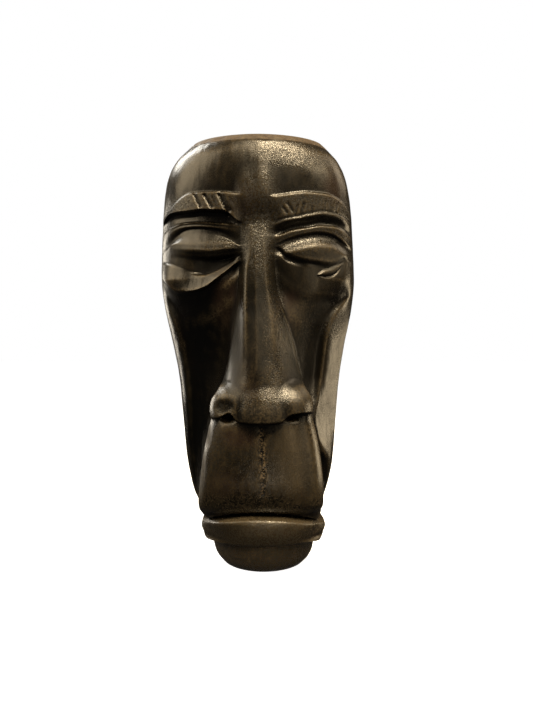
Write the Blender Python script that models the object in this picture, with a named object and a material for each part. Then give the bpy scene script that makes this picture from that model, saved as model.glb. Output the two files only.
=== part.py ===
"""A carved wooden head, one block of dark hardwood that stands on its flat-cut chin.

Metres, +Z up, the face looks towards -Y, the origin is the middle of the flat base.
The carving is drawn on a sheet 140 wide, 128.8 deep and 300 tall, so that one unit of the sheet is
a share of the head's own width, depth or height. Heights run up from the base, widths from the
middle line, and how far a surface stands forward is counted from the upright axis.
"""

import bpy
import numpy as np

# Driving dimensions, in metres.
HEIGHT = 0.300
WIDTH = 0.140
DEPTH = 0.1288

# The sheet that the carving is drawn on.
SHEET_WIDTH = 140.0
SHEET_DEPTH = 128.8
SHEET_HEIGHT = 300.0

# Heights on the sheet where the foot of the chin and the two edges of the sawn chamfer on top run level.
FOOT_ROUNDING = 3.0
SHOULDER = 290.0
CHAMFER = 294.0

# How square the plan of the back is (2 is an ellipse).
BACK_SQUARENESS = 2.4

# Columns of the mesh on each side of the middle line, and around the back.
NOSE_COLUMNS = 11
CHEEK_COLUMNS = 17
BACK_COLUMNS = 10

WOOD_COLOUR = (0.022, 0.017, 0.013, 1.0)
WOOD_ROUGHNESS = 0.42


def through(*points):
    """A smooth curve through (place, value) points that never overshoots them."""
    at, value = np.array(points, float).T
    step = np.diff(at)
    slope = np.diff(value) / step
    tangent = np.concatenate([slope[:1], (slope[1:] + slope[:-1]) / 2, slope[-1:]])
    turning = np.concatenate([[False], slope[1:] * slope[:-1] <= 0, [False]])
    tangent[turning] = 0.0
    limit = 3 * np.minimum(
        np.abs(np.concatenate([slope[:1], slope])), np.abs(np.concatenate([slope, slope[-1:]]))
    )
    tangent = np.sign(tangent) * np.minimum(np.abs(tangent), limit)

    def curve(place):
        place = np.clip(place, at[0], at[-1])
        k = np.clip(np.searchsorted(at, place, side="right") - 1, 0, len(step) - 1)
        t = (place - at[k]) / step[k]
        return (
            value[k] * (1 + 2 * t) * (1 - t) ** 2
            + tangent[k] * step[k] * t * (1 - t) ** 2
            + value[k + 1] * t**2 * (3 - 2 * t)
            - tangent[k + 1] * step[k] * t**2 * (1 - t)
        )

    return curve


def ramp(low, high, place):
    """0 below low, 1 above high, smooth between."""
    t = np.clip((place - low) / (high - low), 0, 1)
    return t * t * (3 - 2 * t)


def greater(first, second, fillet):
    """The greater of two depths, with a fillet where they cross."""
    share = np.clip(0.5 + (first - second) / (2 * fillet), 0, 1)
    return second * (1 - share) + first * share + fillet * share * (1 - share)


def lobe(x, z, middle, height, reach, rise, root, swelling, bluntness=2.0):
    """The front of an ellipsoid, or of a blunter lobe, and a depth far behind the face outside it."""
    inside = 1 - np.abs((x - middle) / reach) ** bluntness - np.abs((z - height) / rise) ** bluntness
    return root + swelling * np.clip(inside, 0, 1) ** (1 / bluntness) - 60 * np.clip(-inside, 0, 1)


# The plan of the block at each height, and where its middle line stands.
half_width = through(
    (0, 29.4), (2, 31.2), (7, 34.5), (12, 36.0), (17, 36.6), (30, 39.6), (34, 42), (37, 43), (43, 45),
    (50, 47.8), (56, 49.6), (71, 52.6), (100, 55.4), (130, 58), (145, 60.4), (160, 63.4), (182, 67.9),
    (203, 70), (232, 69), (262, 66.8), (276, 63.8), (287, 58.2), (294, 52.2), (300, 47.2),
)
front = through(
    (0, 35.5), (3, 40.5), (8, 46.5), (14, 51), (20, 53.5), (27, 54), (35, 50), (45, 45), (60, 41), (100, 37),
    (140, 37), (175, 39), (205, 42), (225, 43), (250, 45), (268, 46), (282, 44.8), (290, 42.6), (294, 40.4),
    (300, 32),
)
front_squareness = through((0, 1.95), (60, 1.98), (150, 2.0), (190, 2.2), (220, 2.3), (284, 2.25), (300, 1.9))
back = through(
    (0, 35.5), (10, 38.5), (40, 43), (100, 52), (170, 60), (230, 63), (268, 61), (286, 55), (300, 43),
)
middle_line = through(
    (0, 0), (30, -0.2), (37, -0.8), (43, -2.2), (50, -2.8), (60, -2.7), (75, -2.8), (100, -3.1), (150, -3.5),
    (200, -4.2), (240, -4.6), (272, -4.9), (288, -4.6), (300, -4.3),
)
lip_overhang = through((18, 0), (20.5, 1.2), (24, 4.0), (28, 4.8), (31, 3.4), (33.5, 1.0), (35, 0))

# The carved lines that run across the face, each as its height over the width.
lip_foot = through(
    (-44, 21), (-38, 21.3), (-28, 21.8), (-10, 22.4), (15, 22.6), (28, 22.2), (36, 20.6), (44, 19.8),
)
lip_edge = through((-44, 31.5), (-30, 37), (0, 41), (30, 36.5), (44, 30.5))
mouth_seam = through((-44, 33.3), (-30, 38.7), (0, 42.7), (30, 38.2), (44, 32.3))
muzzle_foot = through((-44, 35.8), (-30, 41.6), (0, 45.6), (30, 41.1), (44, 34.8))
nose_foot = through(
    (-45, 107), (-30, 107), (-26, 107.5), (-19, 110.5), (-14, 105.5), (0, 104), (15, 105), (19, 108.5),
    (24, 110), (30, 110.5), (45, 110),
)
wing_top = through((-60, 128), (-32, 126), (-20, 130), (0, 131), (20, 130), (32, 127), (60, 128))
brow_edge = through(
    (-70, 240), (-66, 243.5), (-62, 247), (-57, 251.3), (-50, 255.7), (-44, 257.3), (-28, 257), (-12, 255.3),
    (0, 254), (10.5, 253.8), (23, 255.6), (34.5, 257.2), (46.5, 257.3), (54.5, 255.8), (62, 251.5), (66, 247),
    (70, 242),
)
brow_foot = through(
    (-70, 238), (-62, 245.2), (-56, 246.2), (-44, 246), (-38, 246.4), (-31.5, 245.7), (-20.5, 244.4),
    (-13, 238.5), (0, 235), (13, 235.8), (19.5, 237.9), (27.5, 239.5), (36.5, 242), (46.5, 243.8), (58, 243),
    (65.5, 240.3), (70, 237),
)
brow_shadow = through(
    (-70, 230), (-66.5, 234.3), (-59, 238), (-50, 239.6), (-42, 239.4), (-28, 238), (-12.5, 236), (0, 231),
    (10.5, 229.8), (17, 231.3), (23.5, 233.7), (34.5, 235.9), (44, 237.9), (53, 238.1), (59.5, 236.5),
    (66, 232.5), (70, 229),
)
lid_groove = through(
    (-70, 221), (-62, 224.6), (-56.5, 229), (-50, 232.8), (-42, 233.6), (-28, 232), (-20, 228.3), (-13, 224),
    (0, 222), (13, 221.6), (19, 224), (25.5, 226.2), (34.5, 228.5), (43.5, 229.7), (50, 229.4), (56.5, 227.2),
    (63.5, 223), (70, 219.5),
)
lid_edge = through(
    (-70, 217), (-64, 219.8), (-59, 220.8), (-45, 219), (-31, 217.6), (-17, 219.3), (-10, 219.5), (0, 219),
    (10, 218.8), (16, 217.3), (19.5, 214), (25.5, 211.4), (31.5, 210), (42.5, 208.6), (48.5, 208),
    (55.5, 210.2), (60.5, 214), (70, 215.5),
)
bag_top = through(
    (-70, 213), (-64, 211.5), (-53.5, 207), (-45, 203.5), (-37, 202.5), (-29, 204.5), (-21, 208.6),
    (-10, 214), (0, 212), (10, 210), (20, 205), (40, 199), (55, 202), (70, 207),
)
bag_foot = through(
    (-70, 203), (-66, 200), (-61, 194.5), (-54, 191), (-45, 191.2), (-34.5, 194.2), (-28, 198.7),
    (-22, 203.3), (-10, 211), (0, 206), (10, 201), (20, 193), (36, 185), (50, 187), (62, 193), (70, 199),
)

# The nose and the muzzle: one carved edge runs down both sides of them.
nose_ridge = through(
    (100, 60), (107, 61.5), (113, 62), (120, 61.8), (126, 61.2), (133, 60), (145, 58), (165, 55),
    (185, 52), (205, 49.4), (225, 47.4), (245, 47.6),
)
flat_left = through((104, 0.3), (126, 0.3), (145, 0.35), (185, 0.5), (205, 0.55), (222, 0.3), (250, 0.3))
flat_right = through((104, 0.3), (126, 0.3), (145, 0.35), (185, 0.45), (205, 0.4), (225, 0.3), (250, 0.3))
edge_left = through(
    (30, 41), (48, 41.5), (64, 40), (84, 37.2), (100, 33.5), (105, 32.4), (112, 33), (118, 32),
    (124, 28), (131, 24.5), (145, 21), (165, 17.5), (190, 14), (222, 11), (245, 12.5), (262, 16),
    (300, 24),
)
edge_right = through(
    (30, 42), (48, 43.5), (64, 43), (84, 41), (100, 38), (106, 36.5), (113, 36.8), (120, 35.5),
    (126, 32), (134, 29), (154, 24.6), (165, 21.6), (176, 18.2), (184, 15.6), (191, 13.8), (205, 12),
    (222, 12), (245, 14), (262, 17), (300, 24),
)
edge_limit = through((0, 0.78), (18, 0.80), (27, 0.84), (34, 0.88), (42, 0.92), (50, 0.93), (300, 0.93))
muzzle_front = through((42, 51), (44, 54), (47, 56.6), (51, 58.4), (57, 60), (66, 61), (84, 61), (104, 60))
lip_front = through(
    (17, 50), (21, 54.5), (24.5, 57.5), (29, 60), (34, 61.5), (39, 62.2), (40.8, 61.6), (42.6, 57),
    (43.5, 54),
)

# How far the carving stands out of the block or is cut into it.
LEFT_HOLLOW = 6.2
RIGHT_HOLLOW = 9.0
STRIP_BORDER = 5.5
STRIP_END = 3.0
SEAM_DEPTH = 5.0


def plan_depth(x, z):
    """How far the plain block stands forward of its axis."""
    across = np.clip(np.abs(x) / half_width(z), 0, 1)
    square = front_squareness(z)
    return front(z) * (1 - across**square) ** (1 / square)


def across_lines(x, z, lines):
    """The relief between carved lines, each a height, the relief there, and how round the way to it is."""
    top, relief, _ = lines[0]
    total = relief(x)
    for (_, relief_above, _), (height, relief, roundness) in zip(lines, lines[1:]):
        run = np.maximum(top(x) - height(x), 0.4)
        t = np.clip((top(x) - z) / run, 0, 1)
        t = t + (t * t * (3 - 2 * t) - t) * roundness
        total = total + (relief(x) - relief_above(x)) * t
        top = height
    return total


def beside(line, off):
    """The carved line, moved up or down by a few units."""
    return lambda x: line(x) + off


def even(amount):
    """The same relief all along a line."""
    return lambda x: np.full_like(x, amount, dtype=float)


# The left eye under its brow: a band with a crisp top and an undercut foot, a thin double fold, a lid that
# slopes out to a nearly straight edge, the hollow under it, and the flat crescent of the bag.
left_brow_out = through((-70, 1.4), (-62, 2.4), (-40, 2.9), (-20, 2.9), (-12, 2.7), (-9, 2.6))
left_undercut = through((-70, -1.2), (-62, -3.0), (-40, -4.2), (-22, -4.0), (-13, -1.6), (-9, 0.6))
left_groove = through((-70, -0.6), (-58, -2.8), (-40, -3.2), (-26, -2.8), (-18, -1.8), (-9, -1.0))
left_lid_out = through(
    (-70, 0.2), (-62, 0.7), (-50, 1.3), (-42, 2.0), (-34, 2.7), (-22, 2.6), (-16, 1.4), (-9, 0.4),
)
left_under_lid = through(
    (-70, 0.2), (-60, 0.7), (-52, 0.9), (-46, 0.5), (-40, 0.0), (-30, -0.6), (-18, -0.5), (-9, 0),
)
left_hollow = through(
    (-70, 0.2), (-60, 0.6), (-51, 0.2), (-46, -0.8), (-42, -2.6), (-37, -5.4), (-31, -7.4), (-25, -7.8),
    (-18, -5.6), (-11, -1.5),
)
left_hollow_foot = through(
    (-70, 0.4), (-60, 0.8), (-51, 0.4), (-45, -1.0), (-40, -3.4), (-34, -5.6), (-28, -6.2), (-24, -5.8),
    (-18, -4.2), (-11, -1.5),
)
left_bag_rim = through(
    (-70, 0.6), (-66, 2.0), (-62, 2.4), (-56, 1.6), (-50, 0.9), (-45, 0.5), (-36, 0.8), (-28, 0.2),
    (-18, -1.8), (-9, -1.8),
)
left_bag_out = through(
    (-70, 3.0), (-66, 7.0), (-62, 8.2), (-56, 7.4), (-50, 6.4), (-45, 5.6), (-36, 4.6), (-26, 2.8),
    (-18, -0.4), (-9, -1.8),
)
LEFT_EYE = [
    (beside(brow_edge, 1.3), even(0), 0),
    (beside(brow_edge, -0.4), left_brow_out, 0.6),
    (brow_foot, lambda x: left_brow_out(x) + 0.9, 0),
    (beside(brow_foot, -1.3), lambda x: left_undercut(x) * 0.8, 0),
    (beside(brow_foot, -3.6), left_undercut, 1),
    (beside(brow_shadow, 0.0), lambda x: left_undercut(x) * 0.85, 1),
    (beside(brow_shadow, -1.6), lambda x: left_groove(x) * 0.15, 0.6),
    (beside(brow_shadow, -2.7), lambda x: left_groove(x) * 0.32, 1),
    (beside(brow_shadow, -3.8), lambda x: left_groove(x) * 0.2, 1),
    (beside(lid_groove, 0.6), left_groove, 1),
    (beside(lid_groove, -1.6), lambda x: left_groove(x) * 0.8, 1),
    (beside(lid_edge, 4.0), lambda x: left_lid_out(x) * 0.75, 0.4),
    (beside(lid_edge, 0.4), left_lid_out, 0.6),
    (beside(lid_edge, -2.2), left_under_lid, 0.7),
    (beside(lid_edge, -5.2), left_hollow, 0.4),
    (beside(bag_top, 1.4), left_hollow_foot, 0.5),
    (beside(bag_top, -0.8), left_bag_rim, 0.5),
    (beside(bag_foot, 0.8), left_bag_out, 0),
    (beside(bag_foot, -1.4), lambda x: left_bag_out(x) - 3.6, 0.4),
    (beside(bag_foot, -9.0), even(-1.0), 0.6),
    (beside(bag_foot, -24.0), even(0), 1),
]

# The right eye: a softer brow with a rolled foot, a broad rounded fold, a full lid closed down on the lower
# one, whose lit leaf shows at the outer end, and a cheekbone that runs on below without an edge.
right_brow_out = through((9, 2.6), (14, 2.4), (25, 2.2), (45, 2.2), (60, 1.7), (70, 0.6))
right_shadow = through((9, 0.2), (14, -1.6), (25, -2.4), (40, -1.9), (58, -1.5), (70, -0.5))
right_fold = through((9, 0.2), (14, 0.0), (25, 0.3), (45, 0.9), (60, 0.7), (70, 0.2))
right_groove = through((9, -0.2), (16, -1.4), (28, -1.9), (45, -2.0), (58, -1.7), (70, -0.4))
right_lid_out = through((9, -1.0), (16, 0.0), (24, 2.0), (36, 3.0), (48, 2.5), (58, 1.2), (70, 0.2))
right_crease = through(
    (9, -1.6), (18, -1.9), (27, -0.9), (35, 0.4), (42, -0.2), (50, -1.5), (57, -1.4), (62, -0.5), (70, 0),
)
right_cheekbone = through((9, -3.0), (16, -2.6), (28, -0.6), (42, 0.9), (56, 1.0), (70, 0.2))
RIGHT_EYE = [
    (beside(brow_edge, 1.5), even(0), 0),
    (beside(brow_edge, -0.6), right_brow_out, 0.8),
    (beside(brow_foot, 3.6), lambda x: right_brow_out(x) - 0.2, 0),
    (beside(brow_foot, 1.8), lambda x: right_brow_out(x) - 0.7, 1),
    (brow_foot, lambda x: right_brow_out(x) + 0.1, 1),
    (beside(brow_shadow, 0.4), right_shadow, 0.7),
    (beside(brow_shadow, -0.5), right_shadow, 1),
    (beside(brow_shadow, -2.8), right_fold, 0.9),
    (beside(lid_groove, 2.4), lambda x: right_fold(x) - 0.4, 0.6),
    (beside(lid_groove, 0.3), right_groove, 0.8),
    (beside(lid_groove, -1.2), lambda x: right_groove(x) * 0.9, 1),
    (beside(lid_groove, -8.6), right_lid_out, 0.9),
    (beside(lid_edge, 3.4), lambda x: right_lid_out(x) * 0.72, 0.7),
    (beside(lid_edge, 0.5), right_crease, 0.6),
    (beside(lid_edge, -0.6), right_crease, 1),
    (beside(lid_edge, -3.2), lambda x: right_crease(x) * 0.45, 0.9),
    (beside(bag_foot, 6.0), right_cheekbone, 0.9),
    (beside(bag_foot, -3.0), lambda x: right_cheekbone(x) - 0.6, 0.9),
    (beside(bag_foot, -20.0), even(0), 1),
]


def brow_root(x, z):
    """The root of the nose, level with both brows, and the low swelling that runs up the forehead from it."""
    root = 2.6 * ramp(235, 255, z) * (1 - ramp(253, 277, z))
    swelling = 0.9 * np.exp(-(((x - 3.5) / 5.0) ** 2) - ((z - 268) / 12.0) ** 2)
    return root + swelling


def eyes(x, z):
    """Both eyes, faded out between them, where the nose starts."""
    left = ramp(8, 17, -x)
    right = ramp(6.5, 15 + 4 * ramp(228, 237, z), x)
    left_eye = across_lines(x, z, LEFT_EYE)
    right_eye = across_lines(x, z, RIGHT_EYE)
    return left_eye * left + right_eye * right + brow_root(x, z) * (1 - left - right)


valley_left = through(
    (45, 44), (60, 44), (90, 44), (117, 44), (140, 46), (157, 49), (172, 54), (192, 63),
)
valley_right = through(
    (45, 44), (60, 43), (75, 41), (90, 36), (105, 33.5), (117, 35.5), (137, 38.5), (155, 41), (165, 43.2),
    (175, 47.5), (190, 60),
)
valley_depth = through((45, 0.3), (60, 0.7), (90, 1), (117, 1), (155, 0.9), (172, 0.8), (190, 0.5), (200, 0))
right_depth = through(
    (45, 0.4), (60, 0.9), (72, 0.9), (82, 0.4), (90, 0.1), (108, 0.15), (120, 0.6), (134, 1), (155, 0.95),
    (172, 0.8), (190, 0.4), (200, 0),
)
strip_length = through((45, 0), (70, 0.1), (84, 0.6), (98, 1), (165, 1), (182, 0.6), (198, 0))


def cheeks(x, z):
    """The hollow beside the nose and the mouth, which turns outwards below the eye, sharper on the right."""
    right = x > 0
    off = np.abs(x) - np.where(right, valley_right(z), valley_left(z))
    reach = np.where(off < 0, np.where(right, 15.0, 20.0), np.where(right, 6.0, 5.0))
    depth = np.where(right, RIGHT_HOLLOW * right_depth(z), LEFT_HOLLOW * valley_depth(z))
    return -depth * np.exp(-((off / reach) ** 2))


def cut_flat(x, z):
    """How far the flat strip down the right cheek cuts into the round plan of the block."""
    border = np.maximum(valley_right(z) + STRIP_BORDER, 37.0)
    along = np.clip((x - border) / (half_width(z) - border), 0, 1)
    round_plan = plan_depth(x, z)
    flat = plan_depth(border, z) * (1 - along) + STRIP_END * along
    cut = -greater(-flat, -round_plan, 1.2) - round_plan
    return np.where(x > border, np.minimum(cut, 0), 0) * strip_length(z) * ramp(0, 3, x - border + 1)


def face(x, z):
    """The block with brows, eyes and cheeks, before the nose and the mouth."""
    across = np.abs(x) / half_width(z)
    around_eyes = eyes(x, z) * (1 - ramp(0.95, 1.0, across))
    return plan_depth(x, z) + cut_flat(x, z) + around_eyes + cheeks(x, z) * (1 - ramp(0.9, 1.0, across))


def carved_edge(x, z):
    """Where the side of the nose, and of the muzzle below it, meets the cheek."""
    edge = np.where(x < 0, edge_left(z), edge_right(z))
    return np.minimum(edge, half_width(z) * edge_limit(z))


def nose(x, z):
    """A long wedge with a blunt roof, and a broad end where a full tip and two rounded wings run together."""
    edge = carved_edge(x, z)
    across = np.clip(np.abs(x) / edge, 0, 1)
    flat = np.where(x < 0, flat_left(z), flat_right(z))
    fall = np.clip((across - flat) / (1 - flat), 0, 1)
    foot = face(np.sign(x) * edge, z)
    roof = np.where(x < -1, 0.06 * (-1 - x), 0.16 * (x + 1)) * ramp(125, 150, z) * (1 - ramp(205, 228, z))
    ridge = nose_ridge(z) - 1.0 * across**2 - roof
    round_end = 1 - ramp(130, 175, z)
    full = (1 - across ** (2.6 - 0.3 * round_end)) ** (0.8 - 0.22 * round_end)
    flat_top = 1 - fall**1.7
    bridge = foot + (ridge - foot) * (full * round_end + flat_top * (1 - round_end))
    tip = lobe(x, z, 3.0, 109.0, 23.0, 24.0, 42.0, 23.8, 2.0)
    wing_left = lobe(x, z, -16.0, 111.5, 18.4, 20.0, 37.0, 24.0, 2.1)
    wing_right = lobe(x, z, 20.0, 112.5, 17.8, 19.5, 37.0, 25.0, 2.1)
    wings = greater(wing_left, wing_right, 4.0)
    end = greater(greater(bridge, wings, 5.0), tip, 5.0)
    aside = ((x + 22.5) / 6.0) ** 2 + ((z - 113.5) / 5.4) ** 2
    wing_hollow = np.exp(-(aside**1.5))
    return end - 2.6 * wing_hollow


def nostrils(x, z):
    """The two dark holes under the wings."""
    left = np.exp(-(((x + 19.8) / 4.2) ** 2) - ((z - 107.4) / 2.6) ** 2)
    right = np.exp(-(((x - 21.0) / 5.0) ** 2) - ((z - 107.6) / 2.0) ** 2)
    return -8.0 * left - 6.5 * right


def muzzle(x, z):
    """The long upper lip, a barrel that rounds off at its sides, with a shallow valley near the right one."""
    edge = carved_edge(x, z)
    across = np.clip(np.abs(x) / edge, 0, 1)
    crown = muzzle_front(z)
    turn = np.where(x < 0, 6.0 * across**9, 7.5 * across**12)
    barrel = crown - 9.0 * across**2.3 - turn
    right_valley = np.exp(-(((across - 0.72) / 0.12) ** 2)) * (x > 0) * ramp(50, 66, z)
    return barrel - 1.1 * right_valley


def lower_lip(x, z):
    """A ledge across the whole width, set forward of the chin."""
    end = half_width(z) + lip_overhang(z)
    across = np.abs(x) / half_width(z) * end / np.maximum(end, 42.5)
    return 12 + (lip_front(z) - 12) * (1 - across**2.5) ** (1 / 2.1)


def forward(x, z, share):
    """How far the carved front stands forward of the axis, at x across and z up.

    The share runs from 0 on the middle line to 1 on the outline; the lower lip ends before it.
    """
    block = face(x, z)
    inside = np.abs(x) < carved_edge(x, z) * 0.999
    root = 1 - ramp(218, 246, z)
    above = np.where(inside, block + (nose(x, z) - block) * root, block)
    below = np.where(inside, muzzle(x, z), block)
    over_foot = ramp(-1.4, -0.2, z - nose_foot(x))
    carved = below + nostrils(x, z) * (1 - over_foot) * inside + (above - below) * over_foot
    seam = mouth_seam(x)
    lip_on = ramp(-1.2, 0.8, z - lip_foot(x)) * (1 - ramp(0.84, 0.97, share))
    lip = block + (lower_lip(x, z) - block) * lip_on
    carved = np.where(z < seam, np.maximum(block, lip), carved)
    pinch = SEAM_DEPTH * np.exp(-(((z - seam) / 1.1) ** 2)) * (1 - ramp(0.45, 0.85, share))
    return carved - pinch


def level(height):
    """A line straight across the face."""
    return through((-70, height), (70, height))


# Every carved line that a row of the mesh follows, from the base up, and the rows up to the next.
ROW_LINES = [
    (level(0), 1),
    (level(FOOT_ROUNDING), 2),
    (beside(lip_foot, -1.5), 1),
    (lip_foot, 5),
    (lip_edge, 2),
    (mouth_seam, 2),
    (muzzle_foot, 8),
    (beside(nose_foot, -1.6), 1),
    (nose_foot, 7),
    (wing_top, 8),
    (beside(bag_foot, -9.0), 2),
    (beside(bag_foot, -1.4), 1),
    (beside(bag_foot, 0.8), 3),
    (beside(bag_top, 0.5), 2),
    (beside(lid_edge, -2.4), 1),
    (beside(lid_edge, 0.4), 4),
    (beside(lid_groove, -0.4), 1),
    (beside(lid_groove, 1.2), 2),
    (beside(brow_shadow, -2.2), 1),
    (beside(brow_shadow, -0.2), 2),
    (beside(brow_foot, -1.3), 1),
    (brow_foot, 4),
    (beside(brow_edge, -0.4), 1),
    (beside(brow_edge, 1.3), 6),
    (level(SHOULDER), 1),
    (level(CHAMFER), 1),
]
TOP = level(SHEET_HEIGHT)


def place_across(share, z):
    """The width at which a column stands, from 0 on the middle line to 1 on the outline."""
    side = np.sign(share)
    share = np.abs(share)
    split = NOSE_COLUMNS / (NOSE_COLUMNS + CHEEK_COLUMNS)
    spread = through((200, 12), (222, 14), (245, 17), (300, 26))(z)
    edge = carved_edge(side, z)
    edge = np.where(z > 150, np.maximum(edge, spread), edge)
    turn = share / split
    within = edge * (0.42 * turn + 0.58 * np.sin(np.clip(turn, 0, 1) * np.pi / 2))
    at_edge = np.arcsin(np.clip(edge / half_width(z), 0, 0.98))
    beyond = half_width(z) * np.sin(at_edge + (np.pi / 2 - at_edge) * (share - split) / (1 - split))
    return side * np.where(share < split, within, beyond)


def carve_grid():
    """The rows and columns of the carved head as an array of points, rows first."""
    per_side = NOSE_COLUMNS + CHEEK_COLUMNS
    front_share = np.arange(-per_side, per_side + 1) / per_side
    around_back = np.linspace(0, np.pi, BACK_COLUMNS + 1)[1:-1]
    lines = [line for line, _ in ROW_LINES] + [TOP]
    counts = [count for _, count in ROW_LINES]
    heights = []
    for line in lines:
        z = line(np.zeros_like(front_share))
        for _ in range(24):
            z = (z + line(place_across(front_share, z))) / 2
        heights.append(z)
    rows = []
    for low, high, count in zip(heights, heights[1:], counts):
        for k in range(count):
            rows.append(low + (high - low) * k / count)
    rows.append(heights[-1])
    z_front = np.array(rows)
    share = front_share[None, :]
    end_of_lip = ramp(0, 0.8, np.abs(share)) * (1 - ramp(0.84, 0.97, np.abs(share)))
    x_plan = place_across(share, z_front)
    beyond = lip_overhang(z_front) * end_of_lip * ramp(-1.2, 0.8, z_front - lip_foot(x_plan))
    x_front = x_plan + np.sign(share) * np.where(z_front < mouth_seam(x_plan), beyond, 0)
    y_front = -forward(x_plan, z_front, np.abs(share))
    right, left = z_front[:, -1:], z_front[:, :1]
    z_back = right + (left - right) * (around_back / np.pi)[None, :]
    power = 2 / BACK_SQUARENESS
    cos = np.cos(around_back)
    x_back = half_width(z_back) * np.sign(cos) * np.abs(cos) ** power
    y_back = back(z_back) * np.sin(around_back) ** power
    x = np.hstack([x_front, x_back])
    y = np.hstack([y_front, y_back])
    z = np.hstack([z_front, z_back])
    x = x + middle_line(z)
    scale = np.array([WIDTH / SHEET_WIDTH, DEPTH / SHEET_DEPTH, HEIGHT / SHEET_HEIGHT])
    return np.stack([x, y, z], axis=2) * scale


def build_head():
    """The closed body: the carved grid, and a flat fan over the base and over the sawn top."""
    points = carve_grid()
    rows, columns, _ = points.shape
    vertices = points.reshape(-1, 3).tolist()
    faces = []
    for r in range(rows - 1):
        for c in range(columns):
            d = (c + 1) % columns
            low, high = r * columns, (r + 1) * columns
            faces.append((low + c, low + d, high + d, high + c))
    base = len(vertices)
    vertices.append(points[0].mean(0).tolist())
    top = len(vertices)
    vertices.append(points[-1].mean(0).tolist())
    for c in range(columns):
        d = (c + 1) % columns
        faces.append((base, d, c))
        faces.append((top, (rows - 1) * columns + c, (rows - 1) * columns + d))
    mesh = bpy.data.meshes.new("carved_head")
    mesh.from_pydata(vertices, [], faces)
    mesh.validate()
    mesh.shade_smooth()
    head = bpy.data.objects.new("carved_head", mesh)
    bpy.context.scene.collection.objects.link(head)
    return head


def main():
    for old in list(bpy.data.objects):
        bpy.data.objects.remove(old)
    head = build_head()
    wood = bpy.data.materials.new("dark_wood")
    wood.use_nodes = True
    shader = wood.node_tree.nodes["Principled BSDF"]
    shader.inputs["Base Color"].default_value = WOOD_COLOUR
    shader.inputs["Roughness"].default_value = WOOD_ROUGHNESS
    head.data.materials.append(wood)


main()
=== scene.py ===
import math

import bpy
import numpy as np
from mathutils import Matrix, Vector, noise


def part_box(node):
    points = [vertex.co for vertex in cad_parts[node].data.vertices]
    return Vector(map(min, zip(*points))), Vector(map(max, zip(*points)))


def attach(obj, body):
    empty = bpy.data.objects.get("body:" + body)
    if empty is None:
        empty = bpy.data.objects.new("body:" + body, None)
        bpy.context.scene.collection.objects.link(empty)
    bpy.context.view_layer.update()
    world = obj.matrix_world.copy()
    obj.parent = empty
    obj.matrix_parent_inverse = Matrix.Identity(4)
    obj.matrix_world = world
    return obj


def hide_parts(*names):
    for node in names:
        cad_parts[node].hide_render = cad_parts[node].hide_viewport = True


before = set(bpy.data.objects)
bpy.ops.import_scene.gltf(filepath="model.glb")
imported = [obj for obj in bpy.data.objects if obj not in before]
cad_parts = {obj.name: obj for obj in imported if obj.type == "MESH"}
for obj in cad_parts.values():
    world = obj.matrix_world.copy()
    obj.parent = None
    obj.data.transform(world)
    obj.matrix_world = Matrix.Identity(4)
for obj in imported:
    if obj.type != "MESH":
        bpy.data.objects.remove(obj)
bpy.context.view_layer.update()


# The head: one block of dark hardwood, carved with gouge and knife, oiled and rubbed to a satin gloss.
# It is drawn on a sheet 140 wide and 300 tall, x from the middle line and z from the base, and each form
# below says how far forward of the block's axis the wood stands at a place on the sheet.
BACK_SQUARENESS = 2.4


def through(*points):
    """A smooth curve through (place, value) points that never overshoots them."""
    at, value = np.array(points, float).T
    step = np.diff(at)
    slope = np.diff(value) / step
    tangent = np.concatenate([slope[:1], (slope[1:] + slope[:-1]) / 2, slope[-1:]])
    turning = np.concatenate([[False], slope[1:] * slope[:-1] <= 0, [False]])
    tangent[turning] = 0.0
    limit = 3 * np.minimum(
        np.abs(np.concatenate([slope[:1], slope])), np.abs(np.concatenate([slope, slope[-1:]]))
    )
    tangent = np.sign(tangent) * np.minimum(np.abs(tangent), limit)

    def curve(place):
        place = np.clip(place, at[0], at[-1])
        k = np.clip(np.searchsorted(at, place, side="right") - 1, 0, len(step) - 1)
        t = (place - at[k]) / step[k]
        return (
            value[k] * (1 + 2 * t) * (1 - t) ** 2
            + tangent[k] * step[k] * t * (1 - t) ** 2
            + value[k + 1] * t**2 * (3 - 2 * t)
            - tangent[k + 1] * step[k] * t**2 * (1 - t)
        )

    return curve


def ramp(low, high, place):
    """0 below low, 1 above high, smooth between."""
    t = np.clip((place - low) / (high - low), 0, 1)
    return t * t * (3 - 2 * t)


def greater(first, second, fillet):
    """The greater of two depths, with a fillet where they cross."""
    share = np.clip(0.5 + (first - second) / (2 * fillet), 0, 1)
    return second * (1 - share) + first * share + fillet * share * (1 - share)


def lobe(x, z, middle, height, reach, rise, root, swelling, bluntness=2.0):
    """The front of an ellipsoid, or of a blunter lobe, and a depth far behind the face outside it."""
    inside = 1 - np.abs((x - middle) / reach) ** bluntness - np.abs((z - height) / rise) ** bluntness
    return root + swelling * np.clip(inside, 0, 1) ** (1 / bluntness) - 60 * np.clip(-inside, 0, 1)


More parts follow.
